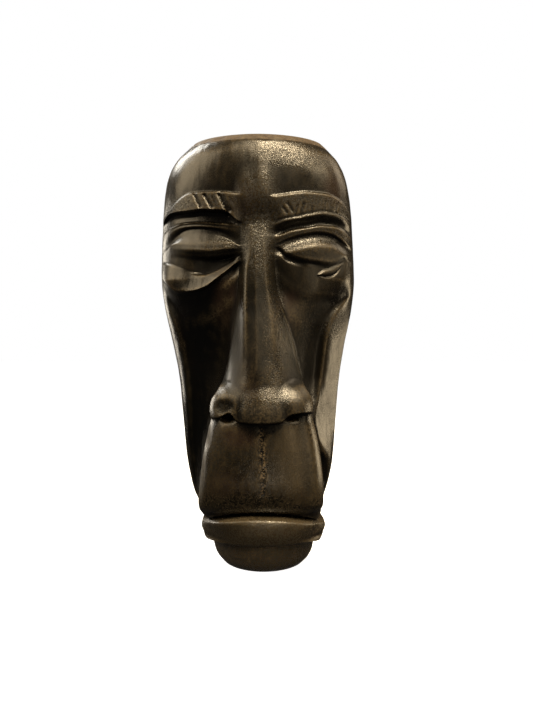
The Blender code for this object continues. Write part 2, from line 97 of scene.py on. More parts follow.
# The plan of the block at each height, and where its middle line stands.
half_width = through(
    (0, 29.4), (2, 31.2), (7, 34.5), (12, 36.0), (17, 36.6), (30, 39.6), (34, 42), (37, 43), (43, 45),
    (50, 47.8), (56, 49.6), (71, 52.6), (100, 55.4), (130, 58), (145, 60.4), (160, 63.4), (182, 67.9),
    (203, 70), (232, 69), (262, 66.8), (276, 63.8), (287, 58.2), (294, 52.2), (300, 47.2),
)
front = through(
    (0, 35.5), (3, 40.5), (8, 46.5), (14, 51), (20, 53.5), (27, 54), (35, 50), (45, 45), (60, 41), (100, 37),
    (140, 37), (175, 39), (205, 42), (225, 43), (250, 45), (268, 46), (282, 44.8), (290, 42.6), (294, 40.4),
    (300, 32),
)
front_squareness = through((0, 1.95), (60, 1.98), (150, 2.0), (190, 2.2), (220, 2.3), (284, 2.25), (300, 1.9))
back = through(
    (0, 35.5), (10, 38.5), (40, 43), (100, 52), (170, 60), (230, 63), (268, 61), (286, 55), (300, 43),
)
middle_line = through(
    (0, 0), (30, -0.2), (37, -0.8), (43, -2.2), (50, -2.8), (60, -2.7), (75, -2.8), (100, -3.1), (150, -3.5),
    (200, -4.2), (240, -4.6), (272, -4.9), (288, -4.6), (300, -4.3),
)
lip_overhang = through((18, 0), (20.5, 1.2), (24, 4.0), (28, 4.8), (31, 3.4), (33.5, 1.0), (35, 0))

# The carved lines that run across the face, each as its height over the width.
lip_foot = through(
    (-44, 21), (-38, 21.3), (-28, 21.8), (-10, 22.4), (15, 22.6), (28, 22.2), (36, 20.6), (44, 19.8),
)
lip_edge = through((-44, 31.5), (-30, 37), (0, 41), (30, 36.5), (44, 30.5))
mouth_seam = through((-44, 33.3), (-30, 38.7), (0, 42.7), (30, 38.2), (44, 32.3))
muzzle_foot = through((-44, 35.8), (-30, 41.6), (0, 45.6), (30, 41.1), (44, 34.8))
nose_foot = through(
    (-45, 107), (-30, 107), (-26, 107.5), (-19, 110.5), (-14, 105.5), (0, 104), (15, 105), (19, 108.5),
    (24, 110), (30, 110.5), (45, 110),
)
wing_top = through((-60, 128), (-32, 126), (-20, 130), (0, 131), (20, 130), (32, 127), (60, 128))
brow_edge = through(
    (-70, 240), (-66, 243.5), (-62, 247), (-57, 251.3), (-50, 255.7), (-44, 257.3), (-28, 257), (-12, 255.3),
    (0, 254), (10.5, 253.8), (23, 255.6), (34.5, 257.2), (46.5, 257.3), (54.5, 255.8), (62, 251.5), (66, 247),
    (70, 242),
)
brow_foot = through(
    (-70, 238), (-62, 245.2), (-56, 246.2), (-44, 246), (-38, 246.4), (-31.5, 245.7), (-20.5, 244.4),
    (-13, 238.5), (0, 235), (13, 235.8), (19.5, 237.9), (27.5, 239.5), (36.5, 242), (46.5, 243.8), (58, 243),
    (65.5, 240.3), (70, 237),
)
brow_shadow = through(
    (-70, 230), (-66.5, 234.3), (-59, 238), (-50, 239.6), (-42, 239.4), (-28, 238), (-12.5, 236), (0, 231),
    (10.5, 229.8), (17, 231.3), (23.5, 233.7), (34.5, 235.9), (44, 237.9), (53, 238.1), (59.5, 236.5),
    (66, 232.5), (70, 229),
)
lid_groove = through(
    (-70, 221), (-62, 224.6), (-56.5, 229), (-50, 232.8), (-42, 233.6), (-28, 232), (-20, 228.3), (-13, 224),
    (0, 222), (13, 221.6), (19, 224), (25.5, 226.2), (34.5, 228.5), (43.5, 229.7), (50, 229.4), (56.5, 227.2),
    (63.5, 223), (70, 219.5),
)
lid_edge = through(
    (-70, 217), (-64, 219.8), (-59, 220.8), (-45, 219), (-31, 217.6), (-17, 219.3), (-10, 219.5), (0, 219),
    (10, 218.8), (16, 217.3), (19.5, 214), (25.5, 211.4), (31.5, 210), (42.5, 208.6), (48.5, 208),
    (55.5, 210.2), (60.5, 214), (70, 215.5),
)
bag_top = through(
    (-70, 213), (-64, 211.5), (-53.5, 207), (-45, 203.5), (-37, 202.5), (-29, 204.5), (-21, 208.6),
    (-10, 214), (0, 212), (10, 210), (20, 205), (40, 199), (55, 202), (70, 207),
)
bag_foot = through(
    (-70, 203), (-66, 200), (-61, 194.5), (-54, 191), (-45, 191.2), (-34.5, 194.2), (-28, 198.7),
    (-22, 203.3), (-10, 211), (0, 206), (10, 201), (20, 193), (36, 185), (50, 187), (62, 193), (70, 199),
)

# The nose and the muzzle: one carved edge runs down both sides of them.
nose_ridge = through(
    (100, 60), (107, 61.5), (113, 62), (120, 61.8), (126, 61.2), (133, 60), (145, 58), (165, 55),
    (185, 52), (205, 49.4), (225, 47.4), (245, 47.6),
)
flat_left = through((104, 0.3), (126, 0.3), (145, 0.35), (185, 0.5), (205, 0.55), (222, 0.3), (250, 0.3))
flat_right = through((104, 0.3), (126, 0.3), (145, 0.35), (185, 0.45), (205, 0.4), (225, 0.3), (250, 0.3))
edge_left = through(
    (30, 41), (48, 41.5), (64, 40), (84, 37.2), (100, 33.5), (105, 32.4), (112, 33), (118, 32),
    (124, 28), (131, 24.5), (145, 21), (165, 17.5), (190, 14), (222, 11), (245, 12.5), (262, 16),
    (300, 24),
)
edge_right = through(
    (30, 42), (48, 43.5), (64, 43), (84, 41), (100, 38), (106, 36.5), (113, 36.8), (120, 35.5),
    (126, 32), (134, 29), (154, 24.6), (165, 21.6), (176, 18.2), (184, 15.6), (191, 13.8), (205, 12),
    (222, 12), (245, 14), (262, 17), (300, 24),
)
edge_limit = through((0, 0.78), (18, 0.80), (27, 0.84), (34, 0.88), (42, 0.92), (50, 0.93), (300, 0.93))
muzzle_front = through((42, 51), (44, 54), (47, 56.6), (51, 58.4), (57, 60), (66, 61), (84, 61), (104, 60))
lip_front = through(
    (17, 50), (21, 54.5), (24.5, 57.5), (29, 60), (34, 61.5), (39, 62.2), (40.8, 61.6), (42.6, 57),
    (43.5, 54),
)

# How far the carving stands out of the block or is cut into it.
LEFT_HOLLOW = 6.2
RIGHT_HOLLOW = 9.0
STRIP_BORDER = 5.5
STRIP_END = 3.0
PHILTRUM_DEPTH = 1.2
SEAM_DEPTH = 5.0
WING_HOLLOW = 2.6
LEFT_NOSTRIL = 8.0
RIGHT_NOSTRIL = 6.5
NOSE_RIM = 1.1
LIP_HALF_WIDTH = 42.5
LIP_END = 12.0


def plan_depth(x, z):
    """How far the plain block stands forward of its axis."""
    across = np.clip(np.abs(x) / half_width(z), 0, 1)
    square = front_squareness(z)
    return front(z) * (1 - across**square) ** (1 / square)


def across_lines(x, z, lines):
    """The relief between carved lines, each a height, the relief there, and how round the way to it is."""
    top, relief, _ = lines[0]
    total = relief(x)
    for (_, relief_above, _), (height, relief, roundness) in zip(lines, lines[1:]):
        run = np.maximum(top(x) - height(x), 0.4)
        t = np.clip((top(x) - z) / run, 0, 1)
        t = t + (t * t * (3 - 2 * t) - t) * roundness
        total = total + (relief(x) - relief_above(x)) * t
        top = height
    return total


def beside(line, off):
    """The carved line, moved up or down by a few units."""
    return lambda x: line(x) + off


def even(amount):
    """The same relief all along a line."""
    return lambda x: np.full_like(x, amount, dtype=float)


# The left eye under its brow: a band with a crisp top and an undercut foot, a thin double fold, a lid that
# slopes out to a nearly straight edge, the hollow under it, and the flat crescent of the bag.
left_brow_out = through((-70, 1.4), (-62, 2.4), (-40, 2.9), (-20, 2.9), (-12, 2.7), (-9, 2.6))
left_undercut = through((-70, -1.2), (-62, -3.0), (-40, -4.2), (-22, -4.0), (-13, -1.6), (-9, 0.6))
left_groove = through((-70, -0.6), (-58, -2.8), (-40, -3.2), (-26, -2.8), (-18, -1.8), (-9, -1.0))
left_lid_out = through(
    (-70, 0.2), (-62, 0.7), (-50, 1.3), (-42, 2.0), (-34, 2.7), (-22, 2.6), (-16, 1.4), (-9, 0.4),
)
left_under_lid = through(
    (-70, 0.2), (-60, 0.7), (-52, 0.9), (-46, 0.5), (-40, 0.0), (-30, -0.6), (-18, -0.5), (-9, 0),
)
left_hollow = through(
    (-70, 0.2), (-60, 0.6), (-51, 0.2), (-46, -0.8), (-42, -2.6), (-37, -5.4), (-31, -7.4), (-25, -7.8),
    (-18, -5.6), (-11, -1.5),
)
left_hollow_foot = through(
    (-70, 0.4), (-60, 0.8), (-51, 0.4), (-45, -1.0), (-40, -3.4), (-34, -5.6), (-28, -6.2), (-24, -5.8),
    (-18, -4.2), (-11, -1.5),
)
left_bag_rim = through(
    (-70, 0.6), (-66, 2.0), (-62, 2.4), (-56, 1.6), (-50, 0.9), (-45, 0.5), (-36, 0.8), (-28, 0.2),
    (-18, -1.8), (-9, -1.8),
)
left_bag_out = through(
    (-70, 3.0), (-66, 7.0), (-62, 8.2), (-56, 7.4), (-50, 6.4), (-45, 5.6), (-36, 4.6), (-26, 2.8),
    (-18, -0.4), (-9, -1.8),
)
LEFT_EYE = [
    (beside(brow_edge, 1.3), even(0), 0),
    (beside(brow_edge, -0.4), left_brow_out, 0.6),
    (brow_foot, lambda x: left_brow_out(x) + 0.9, 0),
    (beside(brow_foot, -1.3), lambda x: left_undercut(x) * 0.8, 0),
    (beside(brow_foot, -3.6), left_undercut, 1),
    (beside(brow_shadow, 0.0), lambda x: left_undercut(x) * 0.85, 1),
    (beside(brow_shadow, -1.6), lambda x: left_groove(x) * 0.15, 0.6),
    (beside(brow_shadow, -2.7), lambda x: left_groove(x) * 0.32, 1),
    (beside(brow_shadow, -3.8), lambda x: left_groove(x) * 0.2, 1),
    (beside(lid_groove, 0.6), left_groove, 1),
    (beside(lid_groove, -1.6), lambda x: left_groove(x) * 0.8, 1),
    (beside(lid_edge, 4.0), lambda x: left_lid_out(x) * 0.75, 0.4),
    (beside(lid_edge, 0.4), left_lid_out, 0.6),
    (beside(lid_edge, -2.2), left_under_lid, 0.7),
    (beside(lid_edge, -5.2), left_hollow, 0.4),
    (beside(bag_top, 1.4), left_hollow_foot, 0.5),
    (beside(bag_top, -0.8), left_bag_rim, 0.5),
    (beside(bag_foot, 0.8), left_bag_out, 0),
    (beside(bag_foot, -1.4), lambda x: left_bag_out(x) - 3.6, 0.4),
    (beside(bag_foot, -9.0), even(-1.0), 0.6),
    (beside(bag_foot, -24.0), even(0), 1),
]

# The right eye: a softer brow with a rolled foot, a broad rounded fold, a full lid closed down on the lower
# one, whose lit leaf shows at the outer end, and a cheekbone that runs on below without an edge.
right_brow_out = through((9, 2.6), (14, 2.4), (25, 2.2), (45, 2.2), (60, 1.7), (70, 0.6))
right_shadow = through((9, 0.2), (14, -1.6), (25, -2.4), (40, -1.9), (58, -1.5), (70, -0.5))
right_fold = through((9, 0.2), (14, 0.0), (25, 0.3), (45, 0.9), (60, 0.7), (70, 0.2))
right_groove = through((9, -0.2), (16, -1.4), (28, -1.9), (45, -2.0), (58, -1.7), (70, -0.4))
right_lid_out = through((9, -1.0), (16, 0.0), (24, 2.0), (36, 3.0), (48, 2.5), (58, 1.2), (70, 0.2))
right_crease = through(
    (9, -1.6), (18, -1.9), (27, -0.9), (35, 0.4), (42, -0.2), (50, -1.5), (57, -1.4), (62, -0.5), (70, 0),
)
right_cheekbone = through((9, -3.0), (16, -2.6), (28, -0.6), (42, 0.9), (56, 1.0), (70, 0.2))
RIGHT_EYE = [
    (beside(brow_edge, 1.5), even(0), 0),
    (beside(brow_edge, -0.6), right_brow_out, 0.8),
    (beside(brow_foot, 3.6), lambda x: right_brow_out(x) - 0.2, 0),
    (beside(brow_foot, 1.8), lambda x: right_brow_out(x) - 0.7, 1),
    (brow_foot, lambda x: right_brow_out(x) + 0.1, 1),
    (beside(brow_shadow, 0.4), right_shadow, 0.7),
    (beside(brow_shadow, -0.5), right_shadow, 1),
    (beside(brow_shadow, -2.8), right_fold, 0.9),
    (beside(lid_groove, 2.4), lambda x: right_fold(x) - 0.4, 0.6),
    (beside(lid_groove, 0.3), right_groove, 0.8),
    (beside(lid_groove, -1.2), lambda x: right_groove(x) * 0.9, 1),
    (beside(lid_groove, -8.6), right_lid_out, 0.9),
    (beside(lid_edge, 3.4), lambda x: right_lid_out(x) * 0.72, 0.7),
    (beside(lid_edge, 0.5), right_crease, 0.6),
    (beside(lid_edge, -0.6), right_crease, 1),
    (beside(lid_edge, -3.2), lambda x: right_crease(x) * 0.45, 0.9),
    (beside(bag_foot, 6.0), right_cheekbone, 0.9),
    (beside(bag_foot, -3.0), lambda x: right_cheekbone(x) - 0.6, 0.9),
    (beside(bag_foot, -20.0), even(0), 1),
]


def lower_lid_leaf(x, z):
    """The lit leaf of the right lower lid, between the closed edge and its own dark line."""
    along = ((x - 41) * 17.5 + (z - 202.2) * 8.6) / 380
    aside = (-(x - 41) * 8.6 + (z - 202.2) * 17.5) / 19.5
    bow = 2.6 * np.sin(np.pi * np.clip(along, 0, 1)) ** 0.8 + 0.01
    off = (aside + 0.6 * np.sin(np.pi * np.clip(along, 0, 1))) / bow
    inside = (along > 0) & (along < 1)
    leaf = np.where(inside, 1.5 * np.clip(1 - off**2, 0, 1), 0)
    under = np.exp(-(((off + 1.3) / 0.3) ** 2)) * np.sin(np.pi * np.clip(along, 0, 1))
    line = np.where(inside, -1.1 * under, 0)
    return leaf + line


def brow_root(x, z):
    """The root of the nose, level with both brows, and the low swelling that runs up the forehead from it."""
    root = 2.6 * ramp(235, 255, z) * (1 - ramp(253, 277, z))
    swelling = 0.9 * np.exp(-(((x - 3.5) / 5.0) ** 2) - ((z - 268) / 12.0) ** 2)
    return root + swelling


def eyes(x, z):
    """Both eyes, faded out between them, where the nose starts."""
    left = ramp(8, 17, -x)
    right = ramp(6.5, 15 + 4 * ramp(228, 237, z), x)
    left_eye = across_lines(x, z, LEFT_EYE)
    right_eye = across_lines(x, z, RIGHT_EYE) + lower_lid_leaf(x, z)
    return left_eye * left + right_eye * right + brow_root(x, z) * (1 - left - right)


valley_left = through(
    (45, 44), (60, 44), (90, 44), (117, 44), (140, 46), (157, 49), (172, 54), (192, 63),
)
valley_right = through(
    (45, 44), (60, 43), (75, 41), (90, 36), (105, 33.5), (117, 35.5), (137, 38.5), (155, 41), (165, 43.2),
    (175, 47.5), (190, 60),
)
valley_depth = through((45, 0.3), (60, 0.7), (90, 1), (117, 1), (155, 0.9), (172, 0.8), (190, 0.5), (200, 0))
right_depth = through(
    (45, 0.4), (60, 0.9), (72, 0.9), (82, 0.4), (90, 0.1), (108, 0.15), (120, 0.6), (134, 1), (155, 0.95),
    (172, 0.8), (190, 0.4), (200, 0),
)
strip_length = through((45, 0), (70, 0.1), (84, 0.6), (98, 1), (165, 1), (182, 0.6), (198, 0))


def cheeks(x, z):
    """The hollow beside the nose and the mouth, which turns outwards below the eye, sharper on the right."""
    right = x > 0
    off = np.abs(x) - np.where(right, valley_right(z), valley_left(z))
    reach = np.where(off < 0, np.where(right, 15.0, 20.0), np.where(right, 6.0, 5.0))
    depth = np.where(right, RIGHT_HOLLOW * right_depth(z), LEFT_HOLLOW * valley_depth(z))
    return -depth * np.exp(-((off / reach) ** 2))


def cut_flat(x, z):
    """How far the flat strip down the right cheek cuts into the round plan of the block."""
    border = np.maximum(valley_right(z) + STRIP_BORDER, 37.0)
    along = np.clip((x - border) / (half_width(z) - border), 0, 1)
    round_plan = plan_depth(x, z)
    flat = plan_depth(border, z) * (1 - along) + STRIP_END * along
    cut = -greater(-flat, -round_plan, 1.2) - round_plan
    return np.where(x > border, np.minimum(cut, 0), 0) * strip_length(z) * ramp(0, 3, x - border + 1)


def face(x, z):
    """The block with brows, eyes and cheeks, before the nose and the mouth."""
    across = np.abs(x) / half_width(z)
    around_eyes = eyes(x, z) * (1 - ramp(0.95, 1.0, across))
    return plan_depth(x, z) + cut_flat(x, z) + around_eyes + cheeks(x, z) * (1 - ramp(0.9, 1.0, across))


def carved_edge(x, z):
    """Where the side of the nose, and of the muzzle below it, meets the cheek."""
    edge = np.where(x < 0, edge_left(z), edge_right(z))
    return np.minimum(edge, half_width(z) * edge_limit(z))


def nose(x, z):
    """A long wedge with a blunt roof, and a broad end where a full tip and two rounded wings run together."""
    edge = carved_edge(x, z)
    across = np.clip(np.abs(x) / edge, 0, 1)
    flat = np.where(x < 0, flat_left(z), flat_right(z))
    fall = np.clip((across - flat) / (1 - flat), 0, 1)
    foot = face(np.sign(x) * edge, z)
    roof = np.where(x < -1, 0.06 * (-1 - x), 0.16 * (x + 1)) * ramp(125, 150, z) * (1 - ramp(205, 228, z))
    ridge = nose_ridge(z) - 1.0 * across**2 - roof
    round_end = 1 - ramp(130, 175, z)
    full = (1 - across ** (2.6 - 0.3 * round_end)) ** (0.8 - 0.22 * round_end)
    flat_top = 1 - fall**1.7
    bridge = foot + (ridge - foot) * (full * round_end + flat_top * (1 - round_end))
    tip = lobe(x, z, 3.0, 109.0, 23.0, 24.0, 42.0, 23.8, 2.0)
    wing_left = lobe(x, z, -16.0, 111.5, 18.4, 20.0, 37.0, 24.0, 2.1)
    wing_right = lobe(x, z, 20.0, 112.5, 17.8, 19.5, 37.0, 25.0, 2.1)
    wings = greater(wing_left, wing_right, 4.0)
    end = greater(greater(bridge, wings, 5.0), tip, 5.0)
    seam_left = np.exp(-(((x + 13.0 - 0.16 * (z - 108)) / 1.8) ** 2)) * (1 - ramp(114, 122, z))
    seam_right = np.exp(-(((x - 17.0 + 0.10 * (z - 108)) / 1.8) ** 2)) * (1 - ramp(112, 119, z))
    aside = ((x + 22.5) / 6.0) ** 2 + ((z - 113.5) / 5.4) ** 2
    wing_hollow = np.exp(-(aside**1.5))
    seams = (0.7 * seam_left + 0.5 * seam_right) * ramp(104, 108, z)
    return end - seams - WING_HOLLOW * wing_hollow


def nostrils(x, z):
    """The two dark holes under the wings."""
    left = np.exp(-(((x + 19.8) / 4.2) ** 2) - ((z - 107.4) / 2.6) ** 2)
    right = np.exp(-(((x - 21.0) / 5.0) ** 2) - ((z - 107.6) / 2.0) ** 2)
    return -LEFT_NOSTRIL * left - RIGHT_NOSTRIL * right


def muzzle(x, z):
    """The long upper lip, a barrel that rounds off at its sides, with a shallow valley near the right one."""
    edge = carved_edge(x, z)
    across = np.clip(np.abs(x) / edge, 0, 1)
    crown = muzzle_front(z)
    turn = np.where(x < 0, 6.0 * across**9, 7.5 * across**12)
    barrel = crown - 9.0 * across**2.3 - turn
    right_valley = np.exp(-(((across - 0.72) / 0.12) ** 2)) * (x > 0) * ramp(50, 66, z)
    middle = through((50, 2.4), (104, 1.0))(z) + 0.5 * np.sin(0.55 * z) + 0.3 * np.sin(1.7 * z)
    ragged = 0.55 + 0.45 * np.sin(0.9 * z + 0.8 * np.sin(0.37 * z))
    groove = np.exp(-(((x - middle) / 1.1) ** 2)) * ramp(54, 62, z) * ragged
    return barrel - PHILTRUM_DEPTH * groove - 1.1 * right_valley


def lower_lip(x, z):
    """A ledge across the whole width, set forward of the chin, whose ends stand out past the block."""
    end = half_width(z) + lip_overhang(z)
    across = np.abs(x) / half_width(z) * end / np.maximum(end, LIP_HALF_WIDTH)
    return LIP_END + (lip_front(z) - LIP_END) * (1 - across**2.5) ** (1 / 2.1)


def forward(x, z, share):
    """How far the carved front stands forward of the axis, at x across and z up.

    The share runs from 0 on the middle line to 1 on the outline; the lower lip ends before it.
    """
    block = face(x, z)
    inside = np.abs(x) < carved_edge(x, z) * 0.999
    root = 1 - ramp(218, 246, z)
    above = np.where(inside, block + (nose(x, z) - block) * root, block)
    below = np.where(inside, muzzle(x, z), block)
    over_foot = ramp(-1.4, -0.2, z - nose_foot(x))
    carved = below + nostrils(x, z) * (1 - over_foot) * inside + (above - below) * over_foot
    seam = mouth_seam(x)
    lip_on = ramp(-1.2, 0.8, z - lip_foot(x)) * (1 - ramp(0.84, 0.97, share))
    lip = block + (lower_lip(x, z) - block) * lip_on
    carved = np.where(z < seam, np.maximum(block, lip), carved)
    pinch = SEAM_DEPTH * np.exp(-(((z - seam) / 1.1) ** 2)) * (1 - ramp(0.45, 0.85, share))
    rim = np.exp(-(((x - edge_right(z) + 0.4) / 0.8) ** 2)) * ramp(126, 136, z) * (1 - ramp(178, 190, z))
    return carved + NOSE_RIM * rim - pinch


# Knife and gouge strokes in the brows, each from its upper to its lower end, then its width and depth.
BROW_STROKES = [
    (-43.0, 256.6, -38.4, 246.2, 2.6, 2.0),
    (-36.0, 255.6, -30.2, 245.4, 2.4, 2.0),
    (-26.4, 256.0, -19.6, 241.5, 4.6, 2.6),
    (16.6, 246.6, 20.8, 241.6, 1.8, 1.2),
    (19.8, 249.6, 24.2, 242.4, 2.2, 1.2),
    (27.2, 249.4, 24.8, 240.6, 1.6, 0.9),
    (31.4, 250.4, 28.6, 240.6, 2.0, 1.2),
    (37.0, 248.6, 36.4, 242.0, 1.5, 1.0),
    (46.6, 252.6, 45.8, 245.0, 1.6, 0.6),
    (55.6, 253.6, 53.4, 245.2, 1.8, 0.9),
]


def stroke(x, z, x_top, z_top, x_end, z_end, width, depth):
    """One cut with an upright wall on its left and a slope on its right."""
    run = np.array([x_end - x_top, z_end - z_top])
    length = np.hypot(*run)
    along = ((x - x_top) * run[0] + (z - z_top) * run[1]) / length
    aside = ((x - x_top) * -run[1] + (z - z_top) * run[0]) / length
    wall = ramp(-0.6, 0.6, aside)
    slope = 1 - np.clip(aside / width, 0, 1)
    return -depth * wall * slope * ramp(-0.6, 0.6, along) * (1 - ramp(-1.5, 0.5, along - length))


def knife_marks(x, z):
    """All the strokes across the brows."""
    cut = np.zeros_like(x)
    for marks in BROW_STROKES:
        cut = np.minimum(cut, stroke(x, z, *marks))
    return cut


# The surface follows rows along the carved lines and columns along the side of the nose and the muzzle.
# Each line stands with the number of rows from it up to the next one.
NOSE_COLUMNS = 34
CHEEK_COLUMNS = 94
BACK_COLUMNS = 36


def level(height):
    """A line straight across the face."""
    return through((-70, height), (70, height))


ROW_LINES = [
    (level(0), 1),
    (level(3), 12),
    (lambda x: lip_foot(x) - 1.5, 3),
    (lip_foot, 16),
    (lip_edge, 5),
    (mouth_seam, 6),
    (muzzle_foot, 40),
    (lambda x: nose_foot(x) - 1.6, 4),
    (nose_foot, 34),
    (wing_top, 40),
    (lambda x: bag_foot(x) - 2, 5),
    (beside(bag_foot, 1.5), 16),
    (bag_top, 22),
    (lid_edge, 20),
    (lid_groove, 14),
    (brow_shadow, 16),
    (brow_foot, 18),
    (beside(brow_edge, -1), 5),
    (beside(brow_edge, 2), 27),
    (level(290), 7),
    (level(294), 7),
]
TOP = level(300)


def place_across(share, z):
    """The width at which a column stands, from 0 on the middle line to 1 on the outline."""
    side = np.sign(share)
    share = np.abs(share)
    split = NOSE_COLUMNS / (NOSE_COLUMNS + CHEEK_COLUMNS)
    spread = through((200, 12), (222, 14), (245, 17), (300, 26))(z)
    edge = carved_edge(side, z)
    edge = np.where(z > 150, np.maximum(edge, spread), edge)
    turn = share / split
    within = edge * (0.42 * turn + 0.58 * np.sin(np.clip(turn, 0, 1) * np.pi / 2))
    at_edge = np.arcsin(np.clip(edge / half_width(z), 0, 0.98))
    turn_out = np.clip((share - split) / (1 - split), 0, 1)
    turn_out = 0.74 * turn_out + 0.26 * turn_out**2
    beyond = half_width(z) * np.sin(at_edge + (np.pi / 2 - at_edge) * turn_out)
    return side * np.where(share < split, within, beyond)


def carve_grid():
    """The rows and columns of the carved head as an array of points, rows first."""
    per_side = NOSE_COLUMNS + CHEEK_COLUMNS
    front_share = np.arange(-per_side, per_side + 1) / per_side
    around_back = np.linspace(0, np.pi, BACK_COLUMNS + 1)[1:-1]
    lines = [line for line, _ in ROW_LINES] + [TOP]
    counts = [count for _, count in ROW_LINES]
    heights = []
    for line in lines:
        z = line(np.zeros_like(front_share))
        for _ in range(24):
            z = (z + line(place_across(front_share, z))) / 2
        heights.append(z)
    rows = []
    for low, high, count in zip(heights, heights[1:], counts):
        for k in range(count):
            rows.append(low + (high - low) * k / count)
    rows.append(heights[-1])
    z_front = np.array(rows)
    share = front_share[None, :]
    end_of_lip = ramp(0, 0.8, np.abs(share)) * (1 - ramp(0.84, 0.97, np.abs(share)))
    x_plan = place_across(share, z_front)
    lip_out = lip_overhang(z_front) * end_of_lip * ramp(-1.2, 0.8, z_front - lip_foot(x_plan))
    x_front = x_plan + np.sign(share) * np.where(z_front < mouth_seam(x_plan), lip_out, 0)
    fade = 1 - ramp(0.95, 1.0, np.abs(share))
    y_front = -forward(x_plan, z_front, np.abs(share)) - knife_marks(x_front, z_front) * fade
    right, left = z_front[:, -1:], z_front[:, :1]
    z_back = right + (left - right) * (around_back / np.pi)[None, :]
    power = 2 / BACK_SQUARENESS
    cos = np.cos(around_back)
    x_back = half_width(z_back) * np.sign(cos) * np.abs(cos) ** power
    y_back = back(z_back) * np.sin(around_back) ** power
    x = np.hstack([x_front, x_back])
    y = np.hstack([y_front, y_back])
    z = np.hstack([z_front, z_back])
    return np.stack([x + middle_line(z), y, z], axis=2)


# The flat sawn ends close the surface in rings that run in to the middle.
END_RINGS = (0.97, 0.9, 0.78, 0.62, 0.44, 0.26, 0.1)


def sawn_end(rim):
    """Rings from the rim of a flat end in to its middle."""
    middle = rim.mean(0)
    return [middle + (rim - middle) * share for share in END_RINGS]


def outward(surface):
    """The outward direction, of length one, at every point of the surface, which closes around the head."""
    along = np.roll(surface, -1, axis=1) - np.roll(surface, 1, axis=1)
    up = np.gradient(surface, axis=0)
    normal = np.cross(along, up)
    return normal / np.maximum(np.linalg.norm(normal, axis=2, keepdims=True), 1e-9)


def averaged(surface, rounds):
    """The surface rubbed smooth, a little further with each round."""
    soft = surface.copy()
    for _ in range(rounds):
        soft = (np.roll(soft, 1, axis=1) + 2 * soft + np.roll(soft, -1, axis=1)) / 4
        soft[1:-1] = (soft[:-2] + 2 * soft[1:-1] + soft[2:]) / 4
    return soft


def grained(surface, spacing, seed, stretch=1.0):
    """Smooth noise between -1 and 1 at every point, with hills that far apart, drawn out along the grain."""
    shift = Vector((seed * 7.31, seed * 3.17, seed * 5.71))
    scale = Vector((1 / spacing, 1 / spacing, 1 / (spacing * stretch)))
    flat = surface.reshape(-1, 3)
    values = [noise.noise(Vector(p) * scale + shift) for p in flat.tolist()]
    return np.array(values).reshape(surface.shape[:2])


sides = carve_grid()

# How the finish differs from place to place, each patch by its middle, its reach and its strength. The brows,
# the lids, the nose and the muzzle are scraped in places, and the scraper left them rough and speckled.
ROUGH_PATCHES = [
    (2, 236, 13, 34, 1.0), (24, 283, 26, 9, 1.0), (-24, 221, 11, 5, 0.9), (28, 221, 17, 7, 1.0),
    (12, 160, 8, 42, 0.8), (2, 113, 32, 15, 0.8), (-6, 78, 30, 24, 0.45), (24, 70, 12, 26, 0.5),
    (34, 168, 8, 22, 0.7), (0, 72, 3, 20, 1.0), (-34, 251, 26, 6, 0.8), (36, 249, 30, 8, 0.9),
    (50, 172, 10, 12, 0.9), (0, 32, 42, 9, 0.9), (0, 12, 36, 10, 0.6), (40, 231, 24, 4, 0.7),
    (30, 222, 20, 8, 1.0),
]
# The inner side of the left cheek is the smoothest and blackest place.
# The same near-black also paints shade on the foot of the muzzle, beside the nose and on the right inner
# cheek.
BLACK_AND_SHADE_PATCHES = [
    (-40, 165, 17, 32, 1.0), (-45, 105, 12, 46, 1.0), (-52, 262, 14, 10, 0.3), (24, 268, 20, 11, 0.5),
    (2, 158, 14, 36, 0.95), (0, 111, 19, 12, 0.85), (30, 150, 12, 36, 0.8), (23, 109, 12, 9, 0.7),
    (17, 170, 4, 14, 1.0), (24, 143, 5, 18, 1.0), (-16, 110, 8, 8, 0.5), (-6, 50, 40, 7, 0.9),
    (3, 78, 3, 30, 0.6),
]
# Places that the oil left dull, mostly beside the nose and along the left edge of the muzzle.
DULL_PATCHES = [
    (28, 155, 12, 34, 0.4), (36, 178, 14, 8, 0.6), (-14.5, 152, 4, 30, 0.8),
    (-34, 96, 2.5, 8, 0.8), (-38, 76, 2.5, 16, 0.8), (-40, 56, 2.5, 10, 0.8), (-28, 207, 13, 5, 0.8),
    (52, 211, 9, 7, 0.7), (3, 108, 16, 8, 0.35), (2, 160, 12, 24, 0.3),
]
# The lip, the chin and the right of the muzzle are rubbed down to the lighter wood, and on the chin the
# lighter colour also paints the light thrown up from below. The groove in the muzzle and the foot of the chin
# are scuffed pale.
RUBBED_AND_LIT_PATCHES = [(0, 28, 44, 11, 0.9), (0, 10, 36, 12, 1.0), (22, 78, 11, 24, 0.7)]
SCUFFED_PATCHES = [
    (1.3, 98, 1.4, 7, 1.0), (2.2, 74, 2.0, 20, 0.7), (3.2, 70, 1.6, 6, 1.0), (0, 9, 38, 10, 0.8),
]
# The stain is thin on the right temple, on and beside the nose and along the sawn rim, where the wood shows
# red.
RED_PATCHES = [
    (54, 266, 7, 14, 0.8), (-5, 132, 7, 20, 0.4), (-23, 186, 9, 18, 0.8), (-12, 96, 12, 8, 0.7),
    (2, 298, 60, 4, 0.5), (-10, 250, 10, 10, 0.3), (22, 178, 7, 12, 0.8), (-20, 60, 14, 12, 0.4),
]


def patched(surface, patches):
    """How strongly each point belongs to a set of soft-edged patches, which fade out behind the face."""
    z = surface[:, :, 2]
    x = surface[:, :, 0] - middle_line(z)
    strength = np.zeros_like(x)
    for middle, height, reach, rise, most in patches:
        off = ((x - middle) / reach) ** 2 + ((z - height) / rise) ** 2
        strength = np.maximum(strength, most * np.exp(-(off**2) * 0.7))
    return strength * (1 - ramp(-2, 22, surface[:, :, 1]))


